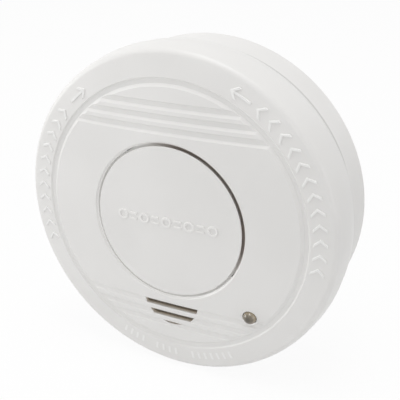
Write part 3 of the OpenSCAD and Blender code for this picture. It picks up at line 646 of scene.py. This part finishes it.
class DETECTOR_OT_button(bpy.types.Operator):
    """Finishes the test button and raises its row of marks"""

    bl_idname = "detector.button"
    bl_label = "Test button"
    bl_options = {"REGISTER", "UNDO"}

    def execute(self, context):
        scene = context.scene
        case, marks = scene.detector_case, scene.detector_marks
        material = self.plastic(case, marks)
        self.button(scene, marks, case.dome_radius, material)
        self.row(scene, marks, case.dome_radius, material)
        return {"FINISHED"}

    def plastic(self, case, marks):
        finish = satin_plastic("button_plastic", case.cover, case.cover_shade, case)
        depth = below_face(finish, case)
        # Painted highlight on the tops of the button's raised marks
        tops = depth < marks.row_relief / 2
        finish.set(base_color=finish.mix(tops, finish.source("Base Color"), case.painted_mark_highlight))
        # Painted shade and painted glow on the button's wall in its gap
        rim = finish.around() > case.hole_radius - BUTTON_EDGE
        paint_gap_shade_and_glow(finish, rim * (depth > marks.row_relief + BUTTON_WALL), depth, case)
        return finish.material

    def button(self, scene, marks, dome, material):
        """Stands in for the button, its top sunk so that the marks end flush with the dome."""
        shape = bmesh.new()
        shape.from_mesh(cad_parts["test_button"].data)
        bmesh.ops.remove_doubles(shape, verts=shape.verts, dist=WELD)
        top = [vert for vert in shape.verts
               if vert.co.y < BUTTON_TOP - dome_height(math.hypot(vert.co.x, vert.co.z), dome)]
        bmesh.ops.translate(shape, vec=(0, marks.row_relief, 0), verts=top)
        piece = new_piece(scene, "marked_button", shape, "button", material)
        mesh = piece.data
        if "custom_normal" in mesh.attributes:
            mesh.attributes.remove(mesh.attributes["custom_normal"])
        mesh.shade_smooth()
        mesh.set_sharp_from_angle(angle=SHARP)
        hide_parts("test_button")

    def row(self, scene, marks, dome, material):
        """Raises rings and pairs of dashes in turn, and bends them onto the dome."""
        shape = bmesh.new()
        for i in range(-ROW_SIDE, ROW_SIDE + 1, 2):
            self.ring(shape, marks, i * marks.row_pitch)
        bmesh.ops.recalc_face_normals(shape, faces=shape.faces)
        for i in range(1 - ROW_SIDE, ROW_SIDE, 2):
            self.dashes(shape, marks, i * marks.row_pitch)
        for vert in shape.verts:
            x, z, lift = vert.co
            vert.co = (x, marks.row_relief - lift - dome_height(math.hypot(x, z), dome), z)
        new_piece(scene, "button_row", shape, "button", material)

    def dashes(self, shape, marks, across):
        """Raises two dashes, above and below the row's line."""
        long, thick = DASH_HALF * marks.ring_radius, marks.stroke / 2
        for side in (-1, 1):
            up = marks.row_rise + side * DASH_RISE * marks.ring_radius
            raise_outline(shape, [(across + long, up + thick), (across - long, up + thick),
                                  (across - long, up - thick), (across + long, up - thick)],
                          marks.row_relief)

    def ring(self, shape, marks, across):
        """Spins a low bead round a point of the row."""
        relief, half, soft = marks.row_relief, marks.stroke / 2, SOFT * marks.row_relief
        bead = [(-half, -SUNK * relief), (-half, relief - soft), (soft - half, relief),
                (half - soft, relief), (half, relief - soft), (half, -SUNK * relief)]
        verts = [shape.verts.new((across + marks.ring_radius + out, marks.row_rise, lift))
                 for out, lift in bead]
        edges = [shape.edges.new((verts[i - 1], verts[i])) for i in range(len(verts))]
        bmesh.ops.spin(shape, geom=verts + edges, cent=(across, marks.row_rise, 0),
                       axis=(0, 0, 1), dvec=(0, 0, 0), angle=2 * math.pi, steps=RING_STEPS,
                       use_merge=True)


class DETECTOR_OT_rim_marks(bpy.types.Operator):
    """Raises the turning marks on the rim of the cover"""

    bl_idname = "detector.rim_marks"
    bl_label = "Rim marks"
    bl_options = {"REGISTER", "UNDO"}

    def execute(self, context):
        scene = context.scene
        marks, dome = scene.detector_marks, scene.detector_case.dome_radius
        shape = bmesh.new()
        step = math.degrees(marks.pitch)
        for first, count, tip, way in RIM_TURNS:
            for i in range(count):
                self.chevron(shape, marks, first + i * step, way)
            self.arrow(shape, marks, tip, way)
        for first, count in RIM_BARS:
            for i in range(count):
                self.bar(shape, marks, first + i * step / 2)
        self.bend(shape, marks.band_radius, dome)
        new_piece(scene, "rim_marks", shape, "alarm",
                  bpy.data.materials["cover_plastic"])
        return {"FINISHED"}

    def outline(self, shape, marks, points, degrees, relief):
        """Raises an outline, given along and across the band, at an angle round the rim."""
        start = math.radians(degrees) * marks.band_radius
        raise_outline(shape, [(start + along, across) for along, across in points], relief)

    def chevron(self, shape, marks, degrees, way):
        half = marks.height / 2
        wide, tip = CHEVRON_WIDE * marks.stroke, CHEVRON_LONG * marks.height
        points = [(tip, 0), (0, half), (-wide, half), (tip - wide, 0), (-wide, -half), (0, -half)]
        points = [(way * (along - tip / 2), across) for along, across in points]
        self.outline(shape, marks, points[::way], degrees, marks.relief)

    def arrow(self, shape, marks, degrees, way):
        tip, barb = ARROW_HALF * marks.height, ARROW_BARB * marks.height
        half, thick = marks.stroke / 2, math.sqrt(2) * marks.stroke
        points = [(tip, 0), (tip - barb, barb), (tip - barb - thick, barb),
                  (tip - thick - half, half), (-tip, half), (-tip, -half),
                  (tip - thick - half, -half), (tip - barb - thick, -barb), (tip - barb, -barb)]
        points = [(way * along, across) for along, across in points]
        self.outline(shape, marks, points[::way], degrees, marks.relief)

    def bar(self, shape, marks, degrees):
        half, wide = BAR_HALF * marks.height, marks.stroke / 2
        points = [(wide, half), (-wide, half), (-wide, -half), (wide, -half)]
        self.outline(shape, marks, points, degrees, BAR_RELIEF * marks.relief)

    def bend(self, shape, radius, dome):
        """Lays the flat band round the rim, on the dome, which turns its faces over."""
        for vert in shape.verts:
            along, across, lift = vert.co
            turn, reach = along / radius, radius + across
            vert.co = (reach * math.cos(turn), -dome_height(reach, dome) - lift,
                       reach * math.sin(turn))
        bmesh.ops.reverse_faces(shape, faces=shape.faces)


class DETECTOR_OT_lamp(bpy.types.Operator):
    """Finishes the indicator lamp and its leads"""

    bl_idname = "detector.lamp"
    bl_label = "Indicator lamp"
    bl_options = {"REGISTER", "UNDO"}

    def execute(self, context):
        inside = context.scene.detector_inside
        finish = Finish("lamp_resin", roughness=0.12, ior=RESIN_IOR, coat_weight=0.6,
                        coat_roughness=0.05)
        spot = centre("indicator_led")
        reach = finish.around(spot.x, spot.z)
        # Painted shade and painted reflection: the resin is darker in the middle, as the dark
        # inside seen through it, and paler towards the edge, as a reflection
        core, rim = scaled(inside.lens, 0.55), scaled(inside.lens, 2.2)
        resin = finish.mix(finish.smooth(reach, *LENS_PAINTED_SHADE), core, inside.lens)
        finish.set(base_color=finish.mix(finish.smooth(reach, *LENS_PAINTED_REFLECTION), resin, rim),
                   normal=finish.grain(1 * MM, 0.004 * MM))
        finish.paint("indicator_led")
        brushed_metal("lead_steel", inside.steel).paint("led_leads", "chip_legs")
        return {"FINISHED"}


class DETECTOR_OT_chamber(bpy.types.Operator):
    """Finishes the smoke chamber, its screen and its optics"""

    bl_idname = "detector.chamber"
    bl_label = "Smoke chamber"
    bl_options = {"REGISTER", "UNDO"}

    def execute(self, context):
        inside = context.scene.detector_inside
        dull_plastic("black_plastic", inside.chamber, 0.55).paint("chamber_base", "chamber_cap")
        brushed_metal("screen_steel", inside.steel, 0.35, 0.3 * MM).paint("insect_screen")
        self.resin("emitter_resin", "ir_emitter", inside.emitter)
        self.resin("receiver_resin", "photodiode", inside.receiver)
        return {"FINISHED"}

    def resin(self, name, node, tone):
        finish = Finish(name, roughness=0.1, ior=RESIN_IOR, coat_weight=0.5)
        finish.set(base_color=finish.mix(finish.noise(1.5 * MM), tone, paler(tone, 0.08)),
                   normal=finish.grain(0.8 * MM, 0.004 * MM))
        finish.paint(node)


class DETECTOR_OT_sounder(bpy.types.Operator):
    """Finishes the sounder's horn, disc, ceramic and contacts"""

    bl_idname = "detector.sounder"
    bl_label = "Sounder"
    bl_options = {"REGISTER", "UNDO"}

    def execute(self, context):
        inside = context.scene.detector_inside
        dull_plastic("horn_plastic", inside.horn).paint("sounder_horn")
        brushed_metal("disc_brass", inside.brass, 0.32).paint("piezo_disc", "sounder_contacts")
        self.ceramic(inside)
        return {"FINISHED"}

    def ceramic(self, inside):
        """Silvers the ceramic's face and leaves its edge bare."""
        finish = Finish("piezo_white", roughness=0.55)
        spot = centre("piezo_ceramic")
        edge = finish.smooth(finish.around(spot.x, spot.z), *SILVER_ENDS)
        face = finish.mix(finish.noise(0.8 * MM), inside.silver, inside.clay)
        finish.set(base_color=finish.mix(edge, face, inside.clay), metallic=0.7 * (1 - edge),
                   normal=finish.grain(0.3 * MM, 0.005 * MM))
        finish.paint("piezo_ceramic")


class DETECTOR_OT_circuit(bpy.types.Operator):
    """Finishes the circuit board and the parts on it"""

    bl_idname = "detector.circuit"
    bl_label = "Circuit"
    bl_options = {"REGISTER", "UNDO"}

    def execute(self, context):
        inside = context.scene.detector_inside
        self.board(inside)
        dull_plastic("chip_black", inside.chip, 0.6).paint("main_chip")
        self.can("reservoir_sleeve", "reservoir_capacitor", inside.reservoir, inside.can_top)
        self.can("timing_sleeve", "timing_capacitor", inside.timing, inside.can_top)
        self.resistors(inside)
        self.ceramics(inside)
        self.coil(inside)
        dull_plastic("switch_black", inside.switch, 0.45).paint("switch_body")
        dull_plastic("plunger_red", inside.plunger, 0.4).paint("switch_plunger")
        return {"FINISHED"}

    def board(self, inside):
        """Solder mask over a weave, with the lines of the copper below it."""
        finish = Finish("board_laminate", ior=PLASTIC_IOR, coat_weight=0.3)
        flat = finish.node("ShaderNodeMapping", inputs={
            "Vector": finish.place, "Rotation": (math.pi / 2, 0, 0)})
        lines = finish.node("ShaderNodeTexBrick", {"offset": 0.5}, {
            "Vector": flat, "Scale": 90.0, "Mortar Size": 0.035, "Brick Width": 0.9,
            "Row Height": 0.32}, output="Fac")
        weave = finish.noise(0.5 * MM)
        mask = finish.mix(weave, inside.board, scaled(inside.board, 0.85))
        finish.set(base_color=finish.mix(lines, mask, scaled(inside.board, 1.7)),
                   roughness=0.3 + 0.15 * weave, normal=finish.bump(lines, 0.03 * MM))
        finish.paint("circuit_board")

    def can(self, name, node, sleeve, top):
        """A sleeve with a pale stripe down one side, round a can with a bare metal top."""
        finish = Finish(name, roughness=0.35)
        spot = centre(node)
        low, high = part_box(node)
        x, y, z = finish.axes()
        stripe = finish.smooth(abs(z - spot.z), *CAN_STRIPE) * (x > spot.x)
        bare = (high[0] - low[0]) / 2 - CAN_EDGE
        metal = (y < low[1] + CAN_TOP) * (finish.around(spot.x, spot.z) < bare)
        plain = finish.mix(finish.noise(3 * MM), sleeve, scaled(sleeve, 1.3))
        body = finish.mix(stripe, plain, paler(sleeve, 0.3))
        finish.set(base_color=finish.mix(metal, body, top), metallic=metal,
                   normal=finish.grain(0.6 * MM, 0.006 * MM))
        finish.paint(node)

    def resistors(self, inside):
        """Banded coats between bare leads."""
        finish = Finish("resistor_coat", roughness=0.4)
        along = finish.axes()[2] - centre("resistors").z
        coat = finish.mix(finish.noise(1.5 * MM), inside.resistor, inside.resistor_shade)
        for place, tone in BANDS:
            coat = finish.mix(finish.smooth(abs(along - place), *BAND), coat, tone)
        body = finish.smooth(abs(along), *COAT)
        finish.set(base_color=finish.mix(body, inside.steel, coat), metallic=1 - body,
                   normal=finish.grain(0.5 * MM, 0.006 * MM))
        finish.paint("resistors")

    def ceramics(self, inside):
        """Dipped beads on bare leads."""
        finish = Finish("capacitor_coat", roughness=0.45)
        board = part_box("ceramic_capacitors")[1][1]
        lead = finish.axes()[1] > board - BARE_LEAD
        coat = finish.mix(finish.noise(1.2 * MM), inside.bead, inside.bead_shade)
        finish.set(base_color=finish.mix(lead, coat, inside.steel), metallic=lead,
                   normal=finish.grain(0.8 * MM, 0.02 * MM))
        finish.paint("ceramic_capacitors")

    def coil(self, inside):
        """Turns of wire between the flanges of a core."""
        finish = Finish("coil_core", roughness=0.4)
        low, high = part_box("step_up_coil")
        along = finish.axes()[1] - (low[1] + high[1]) / 2
        wound = finish.smooth((high[1] - low[1]) / 2 - abs(along), *FLANGE)
        turn = abs(along % WIRE - WIRE / 2) / (WIRE / 2)
        core = finish.mix(finish.noise(1 * MM), inside.core, inside.core_shade)
        # Painted shade: each turn of wire is darker towards its edges, in the groove where it
        # meets the next
        wire = finish.mix(turn, inside.copper, scaled(inside.copper, 0.5))
        finish.set(base_color=finish.mix(wound, core, wire), metallic=0.7 * wound,
                   normal=finish.bump((1 - turn * turn) * wound, 0.12 * MM))
        finish.paint("step_up_coil")


class DETECTOR_OT_battery(bpy.types.Operator):
    """Finishes the battery, its terminals and the clips"""

    bl_idname = "detector.battery"
    bl_label = "Battery"
    bl_options = {"REGISTER", "UNDO"}

    def execute(self, context):
        inside = context.scene.detector_inside
        self.jacket(inside)
        clips = brushed_metal("clip_steel", inside.steel, 0.28)
        clips.paint("battery_terminals", "battery_contacts")
        return {"FINISHED"}

    def jacket(self, inside):
        """A dark jacket with a copper band, between crimped steel rims."""
        low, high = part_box("battery")
        finish = Finish("battery_jacket", coat_weight=0.25)
        x = finish.axes()[0]
        band = finish.smooth(high[0] - x, *JACKET_BAND)
        rim = finish.smooth(high[0] - x, *JACKET_RIM) + finish.smooth(x - low[0], *JACKET_RIM)
        dark = finish.mix(finish.noise(6 * MM), inside.jacket, scaled(inside.jacket, 1.4))
        foil = finish.mix(finish.noise(0.8 * MM), inside.copper, scaled(inside.copper, 1.25))
        finish.set(base_color=finish.mix(rim, finish.mix(band, dark, foil), inside.steel),
                   metallic=0.9 * (band + rim - band * rim),
                   roughness=0.28 + 0.14 * finish.noise(3 * MM),
                   normal=finish.grain(4 * MM, 0.02 * MM))
        finish.paint("battery")


class DETECTOR_OT_screws(bpy.types.Operator):
    """Finishes the screws of the case and the board"""

    bl_idname = "detector.screws"
    bl_label = "Screws"
    bl_options = {"REGISTER", "UNDO"}

    def execute(self, context):
        screws = brushed_metal("screw_steel", context.scene.detector_inside.steel, 0.33,
                               0.4 * MM)
        screws.paint("case_screws", "board_screws")
        return {"FINISHED"}


class DETECTOR_PT_panel(bpy.types.Panel):
    """Lists the steps and their sizes and colours"""

    bl_label = "Smoke detector"
    bl_space_type = "VIEW_3D"
    bl_region_type = "UI"
    bl_category = "Detector"

    def draw(self, context):
        for step in STEPS:
            self.layout.operator(step.bl_idname)
        for name in GROUPS:
            group = getattr(context.scene, name)
            box = self.layout.box()
            for key in group.__annotations__:
                box.prop(group, key)


GROUPS = {
    "detector_case": CaseFinish,
    "detector_marks": MarkSizes,
    "detector_inside": InsideFinish,
    "detector_stage": StageSetup,
}
STEPS = (
    DETECTOR_OT_stage,
    DETECTOR_OT_case,
    DETECTOR_OT_button,
    DETECTOR_OT_rim_marks,
    DETECTOR_OT_lamp,
    DETECTOR_OT_chamber,
    DETECTOR_OT_sounder,
    DETECTOR_OT_circuit,
    DETECTOR_OT_battery,
    DETECTOR_OT_screws,
)


def register():
    for group in (*GROUPS.values(), *STEPS, DETECTOR_PT_panel):
        bpy.utils.register_class(group)
    for name, group in GROUPS.items():
        setattr(bpy.types.Scene, name, PointerProperty(type=group))


def unregister():
    for name in GROUPS:
        delattr(bpy.types.Scene, name)
    for group in (DETECTOR_PT_panel, *reversed(STEPS), *GROUPS.values()):
        bpy.utils.unregister_class(group)


def main():
    register()
    for step in STEPS:
        getattr(bpy.ops.detector, step.bl_idname.split(".")[1])()


if __name__ == "__main__":
    main()
